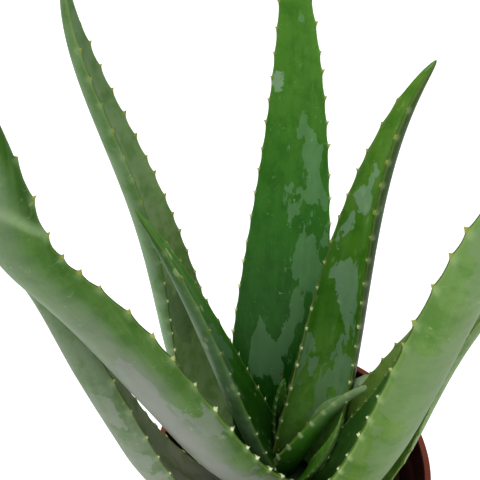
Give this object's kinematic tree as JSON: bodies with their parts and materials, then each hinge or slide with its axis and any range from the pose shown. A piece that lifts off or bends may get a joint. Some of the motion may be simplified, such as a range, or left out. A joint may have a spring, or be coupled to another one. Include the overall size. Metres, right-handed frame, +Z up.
{
  "type": "potted aloe plant",
  "caption": "Young aloe: a rosette of long fleshy leaves with toothed margins, growing in a tapered plastic nursery pot with a flat rolled lip.",
  "frame": {"origin": "centre of the pot's underside, where it stands on a surface", "axes": "+Z up along the pot's axis; -Y towards the picture's camera and +X to its right"},
  "size_m": [0.1935, 0.342, 0.3835],
  "materials": {
    "leaf": "satin",
    "young_leaf": "satin",
    "stem": "matte",
    "soil": "matte",
    "pot_plastic": "satin"
  },
  "bodies": {
    "root": {"pot": "pot_plastic", "soil": "soil", "stem": "stem", "leaf_heart": "young_leaf", "leaf_heart_cut": "young_leaf", "leaf_heart_small": "young_leaf", "leaf_left_inner": "leaf", "leaf_right_back": "leaf", "leaf_back_tall": "leaf", "leaf_left_front": "leaf", "leaf_right_front": "leaf", "leaf_left_back": "leaf", "leaf_right_outer": "leaf", "leaf_left_outer": "leaf", "leaf_front_outer": "leaf"}
  },
  "joints": []
}
